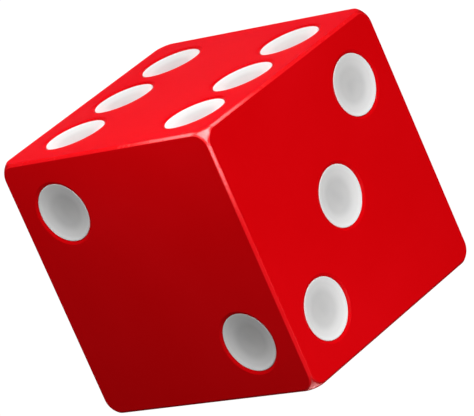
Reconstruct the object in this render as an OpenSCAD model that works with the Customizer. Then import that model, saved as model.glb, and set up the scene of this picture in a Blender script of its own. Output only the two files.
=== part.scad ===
// Casino die: a red cube with softened edges and rounded corners, and twenty-one
// white dished pips, each one a separate inlay seated in its own bevelled socket.
// Frame: +Z up, the six on top, the die standing on its one, origin in the middle
// of the bottom face. -Y is the two, +X is the three, +Y the five, -X the four.

/* [Die] */
// Edge length of the cube, face to face, in mm
edge = 19.05; // [12:0.05:25]
// Radius of the softened straight edges, as a share of the edge length
edge_round_share = 0.0115; // [0.008:0.0005:0.02]
// Radius of the corners of each flat face, as a share of the edge length
corner_round_share = 0.05; // [0.03:0.001:0.07]

/* [Pips] */
// Distance of the outer pips from the middle of a face, as a share of the edge length
pip_offset_share = 0.29; // [0.27:0.005:0.3]
// Diameter of the white part of a pip, as a share of the edge length
pip_size_share = 0.226; // [0.16:0.004:0.236]
// Width of the bevelled ring round a pip, as a share of the edge length
bevel_width_share = 0.0105; // [0.008:0.0005:0.0165]
// Depth of the bevelled ring, as a share of the edge length
bevel_depth_share = 0.005; // [0.004:0.0005:0.012]
// Depth of the white dish below the bevelled ring, as a share of the edge length
dish_depth_share = 0.019; // [0.01:0.001:0.03]
// Thickness of the white inlay in its middle, as a share of the edge length
inlay_thickness_share = 0.022; // [0.016:0.001:0.03]

/* [Hidden] */
$fn = 96;
half = edge / 2;
edge_r = edge * edge_round_share;
corner_r = edge * corner_round_share;
pip_offset = edge * pip_offset_share;
pip_r = edge * pip_size_share / 2;
bevel_w = edge * bevel_width_share;
bevel_z = -edge * bevel_depth_share;
dish_depth = edge * dish_depth_share;
inlay_t = edge * inlay_thickness_share;
// Straight wall of a socket between its bevel and its round bottom
wall_depth = edge * 0.0105;
wall_z = bevel_z - wall_depth;
bowl_depth = dish_depth + inlay_t - wall_depth;
// Height of the drill's small flat at the bottom of a pocket
flat_z = wall_z - bowl_depth * 0.985;
// Radius of a ball that cuts a cap of the given depth with a rim of radius pip_r
function ball_r(depth) = (pip_r * pip_r + depth * depth) / (2 * depth);
dish_r = ball_r(dish_depth);
bowl_r = ball_r(bowl_depth);
// Hair's breadth by which a round corner is set out, so that it runs into the
// straight roundings at a slight angle
set_out = edge * 0.0006;
// Middle of the round corner, measured from the middle of the cube
corner_c = half - edge_r - corner_r + set_out;
corner_ball_r = sqrt(2) * (corner_r - set_out / 2) + edge_r;
// Length past the die by which every cutter runs on
over = edge * 0.05;
die_red = [0.84, 0.02, 0.06];
pip_white = [0.96, 0.95, 0.94];

// Places that turn a piece drawn at the origin, facing +Z, onto one face of the die;
// u and v count in pip offsets from the middle of that face.
module on_one(u, v) {
  translate([u * pip_offset, v * pip_offset, 0]) rotate([180, 0, 0]) children();
}

module on_two(u, v) {
  translate([u * pip_offset, -half, half + v * pip_offset]) rotate([90, 0, 0]) children();
}

module on_three(u, v) {
  translate([half, u * pip_offset, half + v * pip_offset]) rotate([0, 90, 0]) children();
}

module on_four(u, v) {
  translate([-half, u * pip_offset, half + v * pip_offset]) rotate([0, -90, 0]) children();
}

module on_five(u, v) {
  translate([u * pip_offset, half, half + v * pip_offset]) rotate([-90, 0, 0]) children();
}

module on_six(u, v) {
  translate([u * pip_offset, v * pip_offset, edge]) children();
}

// Half profile of the drilled pocket below the bevel: straight wall, round bottom and
// the small flat that the drill leaves.
module pocket_profile() {
  intersection() {
    translate([0, wall_z - bowl_depth + bowl_r]) circle(r = bowl_r);
    translate([0, flat_z]) square([pip_r, bevel_z - flat_z]);
  }
}

// Everything drilled out for one pip, from the bevelled mouth to the bottom.
module socket() {
  rotate_extrude()
    union() {
      polygon([[0, over], [pip_r + bevel_w, over], [pip_r + bevel_w, 0],
        [pip_r, bevel_z], [0, wall_z]]);
      pocket_profile();
    }
}

// White inlay that fills the pocket and is dished on its outer side.
module inlay() {
  rotate_extrude()
    difference() {
      pocket_profile();
      translate([0, bevel_z - dish_depth + dish_r]) circle(r = dish_r);
    }
}

// Cutter that rounds the edge of the cube running along X at +Y +Z.
module edge_cutter() {
  rotate([90, 0, 90])
    translate([0, 0, -half - over])
      linear_extrude(edge + 2 * over)
        difference() {
          translate([half - edge_r, half - edge_r]) square(edge_r + over);
          translate([half - edge_r, half - edge_r]) circle(r = edge_r);
        }
}

// The four parallel edges along X.
module edge_cutters_x() {
  for (turn = [0, 90, 180, 270]) rotate([turn, 0, 0]) edge_cutter();
}

// Ring-shaped cutter that keeps the rim round one corner of the face pointing +Z.
module rim_cutter() {
  rotate_extrude()
    difference() {
      polygon([[0, corner_r + edge_r], [corner_r, corner_r + edge_r], [corner_r, corner_r],
        [corner_r + edge_r + over, corner_r + edge_r + over], [0, corner_r + edge_r + over]]);
      translate([corner_r, corner_r]) circle(r = edge_r);
    }
}

// Solid of one round corner, centred on the corner's middle.
module corner_ball() {
  difference() {
    sphere(r = corner_ball_r);
    translate([0, 0, -set_out]) rim_cutter();
    translate([-set_out, 0, 0]) rotate([0, 90, 0]) rim_cutter();
    translate([0, -set_out, 0]) rotate([-90, 0, 0]) rim_cutter();
  }
}

// Cutter that rounds the corner of the cube at +X +Y +Z.
module corner_cutter() {
  translate([corner_c, corner_c, corner_c])
    difference() {
      cube(corner_r + edge_r + over);
      corner_ball();
    }
}

// Cube with softened edges and round corners, before the pips are drilled.
module blank() {
  difference() {
    translate([-half, -half, -half]) cube(edge);
    edge_cutters_x();
    rotate([0, 0, 90]) edge_cutters_x();
    rotate([0, 90, 0]) edge_cutters_x();
    for (turn = [0, 90, 180, 270]) {
      rotate([0, 0, turn]) corner_cutter();
      rotate([0, 0, turn]) mirror([0, 0, 1]) corner_cutter();
    }
  }
}

module body() {
  color(die_red)
    difference() {
      translate([0, 0, half]) blank();
      on_one(0, 0) socket();
      on_two(-1, 1) socket();
      on_two(1, -1) socket();
      for (step = [-1, 0, 1]) on_three(step, step) socket();
      for (u = [-1, 1], v = [-1, 1]) on_four(u, v) socket();
      for (u = [-1, 1], v = [-1, 1]) on_five(u, v) socket();
      on_five(0, 0) socket();
      for (u = [-1, 1], v = [-1, 0, 1]) on_six(u, v) socket();
    }
}

module pip_one() {
  color(pip_white) on_one(0, 0) inlay();
}

module pip_two_upper() {
  color(pip_white) on_two(-1, 1) inlay();
}

module pip_two_lower() {
  color(pip_white) on_two(1, -1) inlay();
}

module pip_three_upper() {
  color(pip_white) on_three(1, 1) inlay();
}

module pip_three_middle() {
  color(pip_white) on_three(0, 0) inlay();
}

module pip_three_lower() {
  color(pip_white) on_three(-1, -1) inlay();
}

module pip_four_upper_front() {
  color(pip_white) on_four(-1, 1) inlay();
}

module pip_four_upper_back() {
  color(pip_white) on_four(1, 1) inlay();
}

module pip_four_lower_front() {
  color(pip_white) on_four(-1, -1) inlay();
}

module pip_four_lower_back() {
  color(pip_white) on_four(1, -1) inlay();
}

module pip_five_upper_left() {
  color(pip_white) on_five(-1, 1) inlay();
}

module pip_five_upper_right() {
  color(pip_white) on_five(1, 1) inlay();
}

module pip_five_middle() {
  color(pip_white) on_five(0, 0) inlay();
}

module pip_five_lower_left() {
  color(pip_white) on_five(-1, -1) inlay();
}

module pip_five_lower_right() {
  color(pip_white) on_five(1, -1) inlay();
}

module pip_six_left_front() {
  color(pip_white) on_six(-1, -1) inlay();
}

module pip_six_left_middle() {
  color(pip_white) on_six(-1, 0) inlay();
}

module pip_six_left_back() {
  color(pip_white) on_six(-1, 1) inlay();
}

module pip_six_right_front() {
  color(pip_white) on_six(1, -1) inlay();
}

module pip_six_right_middle() {
  color(pip_white) on_six(1, 0) inlay();
}

module pip_six_right_back() {
  color(pip_white) on_six(1, 1) inlay();
}

body();
pip_one();
pip_two_upper();
pip_two_lower();
pip_three_upper();
pip_three_middle();
pip_three_lower();
pip_four_upper_front();
pip_four_upper_back();
pip_four_lower_front();
pip_four_lower_back();
pip_five_upper_left();
pip_five_upper_right();
pip_five_middle();
pip_five_lower_left();
pip_five_lower_right();
pip_six_left_front();
pip_six_left_middle();
pip_six_left_back();
pip_six_right_front();
pip_six_right_middle();
pip_six_right_back();
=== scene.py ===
import math

import bpy
from mathutils import Matrix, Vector
from mathutils.geometry import delaunay_2d_cdt


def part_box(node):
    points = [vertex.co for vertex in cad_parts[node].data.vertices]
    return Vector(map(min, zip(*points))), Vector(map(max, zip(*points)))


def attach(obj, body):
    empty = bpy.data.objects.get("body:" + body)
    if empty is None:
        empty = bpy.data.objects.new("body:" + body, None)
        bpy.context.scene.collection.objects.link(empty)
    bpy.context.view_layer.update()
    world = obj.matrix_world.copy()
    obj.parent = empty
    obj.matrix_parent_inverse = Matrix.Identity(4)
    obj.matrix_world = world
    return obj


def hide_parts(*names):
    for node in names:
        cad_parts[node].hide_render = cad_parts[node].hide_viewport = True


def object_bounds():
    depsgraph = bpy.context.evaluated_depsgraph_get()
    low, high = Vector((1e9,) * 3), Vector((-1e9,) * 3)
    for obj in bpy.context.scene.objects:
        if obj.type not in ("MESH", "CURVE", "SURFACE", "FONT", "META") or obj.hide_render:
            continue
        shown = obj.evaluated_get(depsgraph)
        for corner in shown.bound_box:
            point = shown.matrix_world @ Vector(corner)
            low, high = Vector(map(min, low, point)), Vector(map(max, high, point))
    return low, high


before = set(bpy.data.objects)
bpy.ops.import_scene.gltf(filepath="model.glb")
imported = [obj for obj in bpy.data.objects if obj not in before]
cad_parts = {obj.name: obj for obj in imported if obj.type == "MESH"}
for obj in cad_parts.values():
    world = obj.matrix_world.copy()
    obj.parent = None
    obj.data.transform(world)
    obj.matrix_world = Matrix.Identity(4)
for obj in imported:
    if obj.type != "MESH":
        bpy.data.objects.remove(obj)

MM = 0.001
CAD_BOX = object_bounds()
EDGE = CAD_BOX[1].z - CAD_BOX[0].z
HALF = EDGE / 2
CENTRE = tuple((a + b) / 2 for a, b in zip(CAD_BOX[0], CAD_BOX[1]))
FRONT_CORNER = (CAD_BOX[1].x, CAD_BOX[0].y, CAD_BOX[1].z)
FRONT_FOOT = (CAD_BOX[1].x, CAD_BOX[0].y, CAD_BOX[0].z)

# Shape of the body, as in the CAD source
EDGE_ROUND = 0.0115 * EDGE
CORNER_ROUND = 0.05 * EDGE
BEVEL_WIDTH = 0.0105 * EDGE
DISH_DEPTH = 0.019 * EDGE
WALL_DEPTH = 0.0105 * EDGE
CORNER_MIDDLE = HALF - EDGE_ROUND - CORNER_ROUND

# The visible rims are polished a little flatter in the middle than a plain quarter round:
# the middle arc turns by RIM_FLAT, the two tight arcs beside it by the rest.
RIM_FLAT = math.radians(10)
RIM_TIGHT = 0.40 * EDGE_ROUND
# Share by which the patch on each corner is shaded as if it were flat
PATCH_CALM = 0.7
# Share of their slope with which the bevels and the dishes are shaded
BEVEL_CALM = 0.8
DISH_CALM = 0.7

# Small roundings and the seam round each inlay, which only the visible model has
MOUTH_ROUND = 0.06 * MM
BEVEL_FOOT_ROUND = 0.03 * MM
LIP_WIDTH = 0.10 * MM
LIP_ROUND = 0.035 * MM
SEAT_GAP = 0.025 * MM

# The floor lies this much below the die, so that it never shows through its bottom
FLOOR_DROP = 0.02 * MM

# How finely the round shapes are divided
CORNER_STEPS = 16
RIM_STEPS = 6
PATCH_RINGS = 10
PIP_STEPS = 96
DISH_RINGS = 24
BOWL_RINGS = 9
MOUTH_STEPS = 5
LIP_STEPS = 4
INNER_LIP_STEPS = 3

# Stage and light
STAGE_RADIUS = 1.2
STAGE_STEPS = 96
STAGE_ROWS = 16
PAPER_GLOW = 1.05
AMBIENT = 0.14

# Colours, linear
WHITE = (1.0, 1.0, 1.0)
RED_CARD = (1.0, 0.03, 0.05)
PINK_CARD = (1.0, 0.6, 0.6)
RED_LOW = (0.80, 0.0006, 0.0030, 1)
RED_HIGH = (0.84, 0.0009, 0.0040, 1)
# Painted highlight: a lighter red for the rounded edges and the corner patches
RED_EDGE_HIGHLIGHT = (1.0, 0.003, 0.008, 1)
RED_WORN = (1.0, 0.02, 0.025, 1)
WARM_WHITE = (0.90, 0.885, 0.86, 1)

# Camera: where it stands round the die, in degrees and in edge lengths
VIEW_AZIMUTH = 44.71
VIEW_ELEVATION = 15.42
VIEW_ROLL = 23.71
VIEW_DISTANCE = 16.236
VIEW_RAISE = 0.0141
SENSOR = 36.0
LENS = 348.6


# ---------------------------------------------------------------- small vector helpers

def add(a, b):
    return tuple(x + y for x, y in zip(a, b))


def times(a, s):
    return tuple(x * s for x in a)


def dot(a, b):
    return sum(x * y for x, y in zip(a, b))


def cross(a, b):
    return (a[1] * b[2] - a[2] * b[1], a[2] * b[0] - a[0] * b[2], a[0] * b[1] - a[1] * b[0])


def unit(a):
    return times(a, 1 / math.sqrt(dot(a, a)))


# ---------------------------------------------------------------- mesh building

class Skin:
    """A closed mesh in the making. Each point keeps the direction that its surface faces."""

    def __init__(self):
        self.points, self.normals, self.faces, self.found = [], [], [], {}
        self.values = []

    def point(self, place, normal, value=0.0):
        key = tuple(round(c * 1e7) for c in place)
        if key not in self.found:
            self.found[key] = len(self.points)
            self.points.append(place)
            self.normals.append(unit(normal))
            self.values.append(value)
        return self.found[key]

    def face(self, ids):
        ids = [a for i, a in enumerate(ids) if a != ids[i - 1]]
        if len(set(ids)) < 3:
            return
        a, b, c = (self.points[i] for i in (ids[0], ids[1], ids[2]))
        facing = cross(add(b, times(a, -1)), add(c, times(a, -1)))
        meant = (0.0, 0.0, 0.0)
        for i in ids:
            meant = add(meant, self.normals[i])
        self.faces.append(ids if dot(facing, meant) > 0 else ids[::-1])

    def bands(self, rows):
        """Closes the space between each row of points and the next; every row is a ring."""
        for low, high in zip(rows, rows[1:]):
            for i in range(len(low)):
                j = (i + 1) % len(low)
                self.face([low[i], low[j], high[j], high[i]])

    def fan(self, ring, middle):
        """Closes a ring of points towards one point in its middle."""
        for i in range(len(ring)):
            self.face([ring[i], ring[(i + 1) % len(ring)], middle])

    def build(self, name, materials):
        mesh = bpy.data.meshes.new(name)
        mesh.from_pydata(self.points, [], self.faces)
        mesh.update()
        mesh.shade_smooth()
        mesh.normals_split_custom_set_from_vertices(self.normals)
        layer = mesh.attributes.new("edge_share", "FLOAT", "POINT")
        layer.data.foreach_set("value", self.values)
        for material in materials:
            mesh.materials.append(material)
        piece = bpy.data.objects.new(name, mesh)
        bpy.context.scene.collection.objects.link(piece)
        return piece


class Side:
    """One face of the die: its own u, v and outward axes about the die's middle."""

    def __init__(self, across, up, out):
        self.across, self.up, self.out = across, up, out

    def place(self, u, v, w):
        flat = add(times(self.across, u), times(self.up, v))
        return add(CENTRE, add(flat, times(self.out, w)))

    def facing(self, u, v, w):
        return add(add(times(self.across, u), times(self.up, v)), times(self.out, w))


SIDES = {
    "six": Side((1, 0, 0), (0, 1, 0), (0, 0, 1)),
    "one": Side((1, 0, 0), (0, -1, 0), (0, 0, -1)),
    "two": Side((1, 0, 0), (0, 0, 1), (0, -1, 0)),
    "three": Side((0, 1, 0), (0, 0, 1), (1, 0, 0)),
    "four": Side((0, -1, 0), (0, 0, 1), (-1, 0, 0)),
    "five": Side((-1, 0, 0), (0, 0, 1), (0, 1, 0)),
}


class Pip:
    """Where the CAD has put one pip inlay: its side, its place on it, and its sizes."""

    def __init__(self, node):
        self.node = node
        self.side = SIDES[node.split("_")[1]]
        low, high = (tuple(corner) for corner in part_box(node))
        middle = add(times(add(low, high), 0.5), times(CENTRE, -1))
        size = add(high, times(low, -1))
        self.u, self.v = dot(middle, self.side.across), dot(middle, self.side.up)
        self.radius = max(size) / 2
        thick = min(size)
        self.top = dot(middle, self.side.out) + thick / 2
        self.foot = self.top - thick

    def ring(self, skin, radius, w, out, up):
        """One ring of points round the pip's axis; out and up give the way it faces."""
        ids = []
        for i in range(PIP_STEPS):
            a = 2 * math.pi * i / PIP_STEPS
            x, y = math.cos(a), math.sin(a)
            place = self.side.place(self.u + radius * x, self.v + radius * y, w)
            ids.append(skin.point(place, self.side.facing(out * x, out * y, up)))
        return ids

    def tip(self, skin, w, up):
        """The one point on the pip's axis."""
        return skin.point(self.side.place(self.u, self.v, w), self.side.facing(0, 0, up))


def round_corner(across, height, radius, start, end, steps):
    """Profile points of a rounded edge: (radius, height, out, up), angles in radians."""
    found = []
    for i in range(steps + 1):
        a = start + (end - start) * i / steps
        out, up = math.cos(a), math.sin(a)
        found.append((across + radius * out, height + radius * up, out, up))
    return found


def mouth_profile(pip):
    """Profile of a socket from the flat face down to the foot of its bevel."""
    slope = math.atan2(HALF - pip.top, BEVEL_WIDTH)
    bevel = math.pi / 2 + slope
    shift = MOUTH_ROUND * math.tan(slope / 2)
    high = round_corner(
        pip.radius + BEVEL_WIDTH + shift, HALF - MOUTH_ROUND, MOUTH_ROUND, math.pi / 2, bevel,
        MOUTH_STEPS)
    drop = BEVEL_FOOT_ROUND * (1 - math.sin(slope)) / math.cos(slope)
    low = round_corner(
        pip.radius + BEVEL_FOOT_ROUND, pip.top - drop, BEVEL_FOOT_ROUND, bevel, math.pi,
        LIP_STEPS)
    return [(r, w, out * BEVEL_CALM, up) for r, w, out, up in high + low]


def bowl_profile(pip, radius, foot):
    """Profile of the drilled pocket's round bottom, from its wall to near its axis."""
    wall_foot = pip.top - WALL_DEPTH
    depth = wall_foot - foot
    ball = (radius * radius + depth * depth) / (2 * depth)
    found = []
    for i in range(BOWL_RINGS):
        across = radius * (1 - i / BOWL_RINGS)
        lift = math.sqrt(ball * ball - across * across)
        found.append((across, foot + ball - lift, -across / ball, lift / ball))
    return found


def dish_profile(pip):
    """Profile of the inlay's dish from its rim to near its axis."""
    radius = pip.radius - SEAT_GAP - LIP_WIDTH
    ball = (radius * radius + DISH_DEPTH * DISH_DEPTH) / (2 * DISH_DEPTH)
    start = math.asin(radius / ball)
    middle = pip.top - DISH_DEPTH + ball
    found = []
    for i in range(DISH_RINGS):
        a = start * (1 - i / DISH_RINGS)
        found.append((ball * math.sin(a), middle - ball * math.cos(a),
                      -math.sin(a) * DISH_CALM, math.cos(a)))
    return found


def outline():
    """The outline of a flat face: (u, v, out_u, out_v) round its four round corners."""
    found = []
    for quarter in range(4):
        corner_u = CORNER_MIDDLE if quarter in (0, 3) else -CORNER_MIDDLE
        corner_v = CORNER_MIDDLE if quarter in (0, 1) else -CORNER_MIDDLE
        for i in range(CORNER_STEPS + 1):
            a = math.pi / 2 * (quarter + i / CORNER_STEPS)
            x, y = math.cos(a), math.sin(a)
            found.append((corner_u + CORNER_ROUND * x, corner_v + CORNER_ROUND * y, x, y))
    return found


def rim_profile():
    """Half of a rim, from the flat face to the middle of the edge: (out, down, angle)."""
    tight = math.pi / 4 - RIM_FLAT / 2
    found = []
    for i in range(RIM_STEPS + 1):
        a = tight * i / RIM_STEPS
        found.append((RIM_TIGHT * math.sin(a), RIM_TIGHT * (1 - math.cos(a)), a))
    out, down, _ = found[-1]
    # The wide arc ends where the two halves of the rim meet, on the edge's own diagonal
    turn = (math.sin(math.pi / 4) - math.sin(tight), math.cos(tight) - math.cos(math.pi / 4))
    wide = (EDGE_ROUND - out - down) / (turn[0] + turn[1])
    for i in range(1, RIM_STEPS + 1):
        a = tight + RIM_FLAT / 2 * i / RIM_STEPS
        found.append((out + wide * (math.sin(a) - math.sin(tight)),
                      down + wide * (math.cos(tight) - math.cos(a)), a))
    return found


def add_rim(skin, side):
    """The rounded rim of one face, out to the middle of its edges and round its corners."""
    rows = []
    for out, down, a in rim_profile():
        row = []
        for u, v, x, y in outline():
            place = side.place(u + out * x, v + out * y, HALF - down)
            facing = side.facing(math.sin(a) * x, math.sin(a) * y, math.cos(a))
            row.append(skin.point(place, facing, 4 * a / math.pi))
        rows.append(row)
    skin.bands(rows)
    return rows[0]


def add_flat(skin, side, rim, mouths):
    """The flat of one face between its rim and the mouths of its sockets."""
    loops = [rim] + [ring for ring, pip in mouths]
    ids = [i for loop in loops for i in loop]
    flat = []
    for i in ids:
        place = add(skin.points[i], times(CENTRE, -1))
        flat.append((dot(place, side.across) / MM, dot(place, side.up) / MM))
    lines, start = [], 0
    for loop in loops:
        lines += [(start + i, start + (i + 1) % len(loop)) for i in range(len(loop))]
        start += len(loop)
    points, _, faces, sources, _, _ = delaunay_2d_cdt(flat, lines, [], 0, 1e-6, True)
    for corners in faces:
        middle = times(add(add(points[corners[0]], points[corners[1]]), points[corners[2]]), MM / 3)
        if all(math.dist(middle, (pip.u, pip.v)) > pip.radius + BEVEL_WIDTH for _, pip in mouths):
            skin.face([ids[sources[c][0]] for c in corners])


def add_socket(skin, pip):
    """The socket of one pip; gives the ring of its mouth, where it meets the flat face."""
    profile = mouth_profile(pip) + bowl_profile(pip, pip.radius, pip.foot)
    rows = [pip.ring(skin, *row) for row in profile]
    skin.bands(rows)
    skin.fan(rows[-1], pip.tip(skin, pip.foot, 1))
    return rows[0]


def add_corner_patch(skin, signs):
    """The three-sided ball patch in the middle of one round corner."""
    ball = math.sqrt(2) * (CORNER_ROUND + rim_profile()[-1][0])
    middle = add(CENTRE, times(signs, CORNER_MIDDLE))
    border = []
    for turn in range(3):
        for i in range(CORNER_STEPS):
            a = math.pi / 2 * i / CORNER_STEPS
            x, y = math.cos(a), math.sin(a)
            border.append(((x, y, 1.0), (y, 1.0, x), (1.0, x, y))[turn])
    deep = unit((1, 1, 1))
    rows = []
    for ring in range(PATCH_RINGS):
        share = ring / PATCH_RINGS
        row = []
        for way in border:
            way = unit(add(times(unit(way), 1 - share), times(deep, share)))
            facing = unit(add(times(way, 1 - PATCH_CALM), times(deep, PATCH_CALM)))
            way, facing = (tuple(w * s for w, s in zip(aim, signs)) for aim in (way, facing))
            row.append(skin.point(add(middle, times(way, ball)), facing, 1.0))
        rows.append(row)
    skin.bands(rows)
    way = tuple(w * s for w, s in zip(deep, signs))
    skin.fan(rows[-1], skin.point(add(middle, times(way, ball)), way, 1.0))


def make_body(pips, material):
    skin = Skin()
    for name, side in SIDES.items():
        mouths = [(add_socket(skin, pip), pip) for pip in pips if pip.side is side]
        add_flat(skin, side, add_rim(skin, side), mouths)
    for x in (-1, 1):
        for y in (-1, 1):
            for z in (-1, 1):
                add_corner_patch(skin, (x, y, z))
    return skin.build("die_body", [material])


def make_inlay(pip, material):
    """White inlay: dish, narrow rounded lip, wall and round back."""
    skin = Skin()
    radius = pip.radius - SEAT_GAP
    dish = dish_profile(pip)
    slope = math.atan2(dish[0][3], dish[0][2])
    lip = round_corner(
        radius - LIP_ROUND, pip.top - LIP_ROUND, LIP_ROUND, 0, math.pi / 2, LIP_STEPS)
    inner = round_corner(
        radius - LIP_WIDTH + LIP_ROUND, pip.top - LIP_ROUND, LIP_ROUND, math.pi / 2, slope,
        INNER_LIP_STEPS)
    back = [(r, w, -out, -up) for r, w, out, up in bowl_profile(pip, radius, pip.foot + SEAT_GAP)]
    wall = [(radius, pip.top - WALL_DEPTH * 0.9, 1, 0)]
    rows = [pip.ring(skin, *row) for row in dish[:0:-1] + inner[::-1] + lip[::-1] + wall + back]
    skin.bands(rows)
    skin.fan(rows[0], pip.tip(skin, pip.top - DISH_DEPTH, 1))
    skin.fan(rows[-1], pip.tip(skin, pip.foot + SEAT_GAP, -1))
    piece = skin.build("inlay_" + pip.node, [material])
    add_round_map(piece.data, pip)
    return piece


def add_round_map(mesh, pip):
    """A UV map in which the inlay's rim lies at distance 1 from the origin."""
    layer = mesh.uv_layers.new(name="round")
    for loop in mesh.loops:
        place = add(tuple(mesh.vertices[loop.vertex_index].co), times(CENTRE, -1))
        u = (dot(place, pip.side.across) - pip.u) / pip.radius
        v = (dot(place, pip.side.up) - pip.v) / pip.radius
        layer.data[loop.index].uv = (u, v)


# ---------------------------------------------------------------- materials

class Nodes:
    """Short names for building a material's node tree."""

    def __init__(self, name):
        self.material = bpy.data.materials.new(name)
        self.material.use_nodes = True
        self.tree = self.material.node_tree
        self.shader = self.tree.nodes["Principled BSDF"]

    def add(self, kind, **settings):
        node = self.tree.nodes.new(kind)
        for key, value in settings.items():
            setattr(node, key, value)
        return node

    def link(self, source, target):
        self.tree.links.new(source, target)

    def noise(self, where, scale, detail, roughness=0.5):
        node = self.add("ShaderNodeTexNoise")
        node.inputs["Scale"].default_value = scale
        node.inputs["Detail"].default_value = detail
        node.inputs["Roughness"].default_value = roughness
        self.link(where, node.inputs["Vector"])
        return node.outputs["Fac"]

    def span(self, value, low, high, to_low, to_high):
        node = self.add("ShaderNodeMapRange")
        for name, number in zip(("From Min", "From Max", "To Min", "To Max"),
                                (low, high, to_low, to_high)):
            node.inputs[name].default_value = number
        self.link(value, node.inputs["Value"])
        return node.outputs["Result"]

    def maths(self, what, a, b):
        node = self.add("ShaderNodeMath", operation=what)
        for socket, value in zip(node.inputs, (a, b)):
            if isinstance(value, (int, float)):
                socket.default_value = value
            else:
                self.link(value, socket)
        return node.outputs["Value"]

    def blend(self, share, a, b):
        node = self.add("ShaderNodeMix", data_type="RGBA")
        for socket, value in ((node.inputs[0], share), (node.inputs[6], a), (node.inputs[7], b)):
            if isinstance(value, tuple):
                socket.default_value = value
            else:
                self.link(value, socket)
        return node.outputs[2]

    def stretched(self, turn, scale):
        """Object coordinates turned and squeezed, for hairlines along one direction."""
        node = self.add("ShaderNodeMapping")
        node.inputs["Rotation"].default_value = turn
        node.inputs["Scale"].default_value = scale
        self.link(self.places(), node.inputs["Vector"])
        return node.outputs["Vector"]

    def places(self):
        return self.add("ShaderNodeTexCoord").outputs["Object"]


def hairlines(n, amount):
    """Fine straight scratches in three directions, as a mask from 0 to amount."""
    mask = None
    for turn in ((0.3, 0.5, 0.9), (1.4, 0.2, -0.6), (-0.7, 1.1, 0.35)):
        where = n.stretched(turn, (200, 16000, 16000))
        line = n.span(n.noise(where, 3.0, 2.0), 0.70, 0.76, 0.0, amount)
        mask = line if mask is None else n.maths("MAXIMUM", mask, line)
    return mask


def red_plastic():
    """Polished red plastic with faint clouding, hairlines and patchy wear on its edges; its rounded
    edges and corners also carry a painted highlight, a lighter red.
    """
    n = Nodes("die_red")
    where = n.places()
    cloud = n.noise(where, 140.0, 4.0)
    grain = n.noise(where, 2200.0, 3.0)
    edge = n.add("ShaderNodeAttribute", attribute_name="edge_share").outputs["Fac"]
    patchy = n.span(n.noise(where, 700.0, 5.0, 0.6), 0.35, 0.75, 0.0, 1.0)
    worn = n.maths("MULTIPLY", edge, patchy)
    lines = hairlines(n, 1.0)
    colour = n.blend(n.span(cloud, 0.3, 0.7, 0.0, 1.0), RED_LOW, RED_HIGH)
    # Painted highlight: the rounded edges and corner patches are blended towards a lighter red
    colour = n.blend(n.span(edge, 0.1, 0.7, 0.0, 0.8), colour, RED_EDGE_HIGHLIGHT)
    colour = n.blend(n.maths("MULTIPLY", worn, 0.3), colour, RED_WORN)
    n.link(colour, n.shader.inputs["Base Color"])
    rough = n.span(cloud, 0.3, 0.7, 0.10, 0.15)
    rough = n.maths("ADD", rough, n.span(edge, 0.2, 0.8, 0.0, 0.14))
    rough = n.maths("ADD", rough, n.maths("MULTIPLY", worn, 0.03))
    rough = n.maths("ADD", rough, n.maths("MULTIPLY", lines, 0.12))
    n.link(rough, n.shader.inputs["Roughness"])
    n.shader.inputs["IOR"].default_value = 1.49
    height = n.maths("SUBTRACT", n.maths("MULTIPLY", grain, 0.12), n.maths("MULTIPLY", lines, 0.5))
    bump = n.add("ShaderNodeBump")
    bump.inputs["Strength"].default_value = 0.25
    bump.inputs["Distance"].default_value = 0.000004
    n.link(height, bump.inputs["Height"])
    n.link(bump.outputs["Normal"], n.shader.inputs["Normal"])
    return n.material


def white_enamel():
    """Smooth white filling with painted shade: greyer in the middle of each dish than at its lip.
    """
    n = Nodes("pip_white")
    where = n.places()
    flat = n.add("ShaderNodeUVMap", uv_map="round")
    reach = n.add("ShaderNodeVectorMath", operation="LENGTH")
    n.link(flat.outputs["UV"], reach.inputs[0])
    # Painted shade: the colour greys towards the middle of each dish, where the dish's shading
    # falls
    dish_shade_ramp = n.add("ShaderNodeValToRGB")
    dish_shade_ramp.color_ramp.interpolation = "EASE"
    stops = dish_shade_ramp.color_ramp.elements
    stops[0].position, stops[0].color = 0.0, (0.63, 0.63, 0.63, 1)
    stops[1].position, stops[1].color = 0.97, (0.98, 0.98, 0.98, 1)
    for place, grey in ((0.45, 0.69), (0.78, 0.87), (0.92, 0.95)):
        stop = stops.new(place)
        stop.color = (grey, grey, grey, 1)
    n.link(reach.outputs["Value"], dish_shade_ramp.inputs["Fac"])
    cloud = n.noise(where, 500.0, 4.0)
    tone = n.span(cloud, 0.35, 0.65, 0.0, 0.25)
    colour = n.blend(tone, dish_shade_ramp.outputs["Color"], WARM_WHITE)
    n.link(colour, n.shader.inputs["Base Color"])
    n.link(n.span(cloud, 0.3, 0.7, 0.30, 0.42), n.shader.inputs["Roughness"])
    n.shader.inputs["IOR"].default_value = 1.48
    bump = n.add("ShaderNodeBump")
    bump.inputs["Strength"].default_value = 0.2
    bump.inputs["Distance"].default_value = 0.000004
    n.link(n.noise(where, 1600.0, 4.0), bump.inputs["Height"])
    n.link(bump.outputs["Normal"], n.shader.inputs["Normal"])
    return n.material


def pale_paper():
    """Plain white of the floor and the backdrop."""
    n = Nodes("studio_white")
    n.shader.inputs["Base Color"].default_value = (0.0, 0.0, 0.0, 1)
    n.shader.inputs["Specular IOR Level"].default_value = 0.0
    n.shader.inputs["Roughness"].default_value = 1.0
    n.shader.inputs["Emission Color"].default_value = (1.0, 1.0, 1.0, 1)
    n.shader.inputs["Emission Strength"].default_value = PAPER_GLOW
    return n.material


# ---------------------------------------------------------------- studio

def heading(azimuth, elevation):
    """Direction from the die towards a place round it; azimuth 0 is in front, towards -Y."""
    a, e = math.radians(azimuth), math.radians(elevation)
    return (math.sin(a) * math.cos(e), -math.cos(a) * math.cos(e), math.sin(e))


def standing(right, up, back, place):
    """Where a camera or a lamp stands and how it is turned."""
    return Matrix([(right[i], up[i], back[i], place[i]) for i in range(3)] + [(0, 0, 0, 1)])


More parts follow.
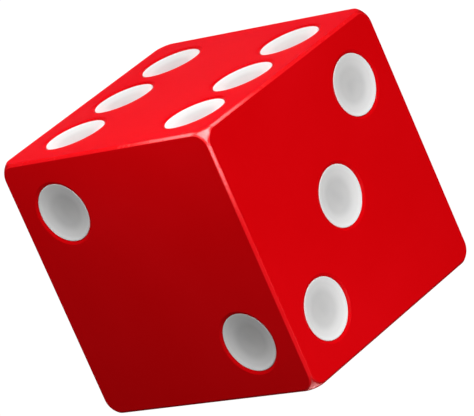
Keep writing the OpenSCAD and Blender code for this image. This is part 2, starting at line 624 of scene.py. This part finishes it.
def make_camera():
    back = heading(VIEW_AZIMUTH, VIEW_ELEVATION)
    level = unit(cross(times(back, -1), (0, 0, 1)))
    upright = cross(back, level)
    r = math.radians(VIEW_ROLL)
    up = add(times(upright, math.cos(r)), times(level, math.sin(r)))
    right = cross(up, back)
    camera = bpy.data.objects.new("camera", bpy.data.cameras.new("camera"))
    place = add(CENTRE, add(times(back, VIEW_DISTANCE * EDGE), times(up, VIEW_RAISE * EDGE)))
    camera.matrix_world = standing(right, up, back, place)
    camera.data.sensor_width = SENSOR
    camera.data.lens = LENS
    camera.data.clip_start = 0.01
    camera.data.clip_end = 10
    bpy.context.scene.collection.objects.link(camera)
    bpy.context.scene.camera = camera


def hide_from_light(piece):
    """The stage is seen, but neither lights, mirrors in nor shades the die."""
    piece.visible_diffuse = False
    piece.visible_glossy = False
    piece.visible_transmission = False
    piece.visible_shadow = False


def make_stage():
    paper = pale_paper()
    turns = [2 * math.pi * i / STAGE_STEPS for i in range(STAGE_STEPS)]
    rim = [(STAGE_RADIUS * math.cos(a), STAGE_RADIUS * math.sin(a)) for a in turns]
    floor = bpy.data.meshes.new("floor")
    floor.from_pydata([(x, y, -FLOOR_DROP) for x, y in rim], [], [list(range(STAGE_STEPS))])
    wall = bpy.data.meshes.new("backdrop")
    points = []
    for j in range(STAGE_ROWS + 1):
        a = math.pi / 2 * j / STAGE_ROWS
        points += [(x * math.cos(a), y * math.cos(a), STAGE_RADIUS * math.sin(a)) for x, y in rim]
    faces = []
    for j in range(STAGE_ROWS):
        low, high = j * STAGE_STEPS, (j + 1) * STAGE_STEPS
        for i in range(STAGE_STEPS):
            k = (i + 1) % STAGE_STEPS
            faces.append([low + i, low + k, high + k, high + i])
    wall.from_pydata(points, [], faces)
    for mesh in (floor, wall):
        mesh.materials.append(paper)
        piece = bpy.data.objects.new(mesh.name, mesh)
        bpy.context.scene.collection.objects.link(piece)
        hide_from_light(piece)


def make_panel(name, start, azimuth, elevation, distance, size, watts, along=(1, 0, 0),
               tint=WHITE, shows="both", spread=180):
    """A lamp panel that faces its start point on the die.

    It shows in the die's gloss, in its matt colour or in both. Its size is taken along the
    way given and across it, in metres; its beam spreads by the given degrees.
    """
    data = bpy.data.lights.new(name, "AREA")
    data.shape = "ELLIPSE" if shows == "gloss" else "RECTANGLE"
    data.size, data.size_y = size
    data.energy = watts
    data.color = tint
    data.spread = math.radians(spread)
    lamp = bpy.data.objects.new(name, data)
    back = heading(azimuth, elevation)
    side = unit(add(along, times(back, -dot(along, back))))
    top = cross(back, side)
    lamp.matrix_world = standing(side, top, back, add(start, times(back, distance)))
    lamp.visible_camera = False
    lamp.visible_diffuse = shows != "gloss"
    lamp.visible_glossy = shows != "colour"
    bpy.context.scene.collection.objects.link(lamp)


def make_studio_lamps():
    """The key lamp and the panels that give each side of the die its tone."""
    make_panel("key", CENTRE, 72, 51, 0.30, (0.12, 0.12), 0.61)
    make_panel("left", FRONT_CORNER, -5, 45, 0.030, (0.02, 0.02), 0.0052, shows="colour")
    make_panel("right", FRONT_FOOT, 95, -5, 0.05, (0.03, 0.03), 0.0088, (0, 1, 0),
               shows="colour")
    make_panel("back", CENTRE, -135, 24, 0.25, (0.12, 0.12), 0.40, shows="colour")


def make_edge_lamps():
    """Small lamps near the front corner: they draw the light lines on its edges."""
    make_panel("left_edge", FRONT_CORNER, -69, 43, 0.016, (0.0078, 0.007), 0.000076,
               shows="gloss", spread=50)
    make_panel("right_edge", FRONT_CORNER, 159, 43, 0.016, (0.007, 0.007), 0.000066, (0, 1, 0),
               shows="gloss", spread=50)
    make_panel("front_edge", FRONT_CORNER, 45, -15, 0.016, (0.0075, 0.007), 0.00015, (0, 0, 1),
               shows="gloss", spread=50)
    make_panel("corner", FRONT_CORNER, 45, 55, 0.012, (0.009, 0.009), 0.00023,
               shows="gloss", spread=50)
    make_panel("table_glow", FRONT_FOOT, -132, -87, 0.012, (0.006, 0.006), 0.000016,
               tint=PINK_CARD, shows="gloss", spread=16)


def make_lights():
    make_studio_lamps()
    make_edge_lamps()
    make_panel("sheen", CENTRE, -135, 15, 0.30, (0.30, 0.12), 0.090, tint=RED_CARD,
               shows="gloss")
    world = bpy.data.worlds.new("studio")
    bpy.context.scene.world = world
    world.use_nodes = True
    background = world.node_tree.nodes["Background"]
    background.inputs["Color"].default_value = (1.0, 1.0, 1.0, 1)
    background.inputs["Strength"].default_value = AMBIENT
    world.cycles_visibility.glossy = False
    bpy.context.scene.view_settings.view_transform = "Standard"


# ---------------------------------------------------------------- the die

def make_die():
    pips = [Pip(node) for node in sorted(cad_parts) if node.startswith("pip_")]
    body = make_body(pips, red_plastic())
    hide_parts("body")
    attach(body, "root")
    enamel = white_enamel()
    for pip in pips:
        inlay = make_inlay(pip, enamel)
        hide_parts(pip.node)
        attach(inlay, "root")


make_camera()
make_stage()
make_lights()
make_die()
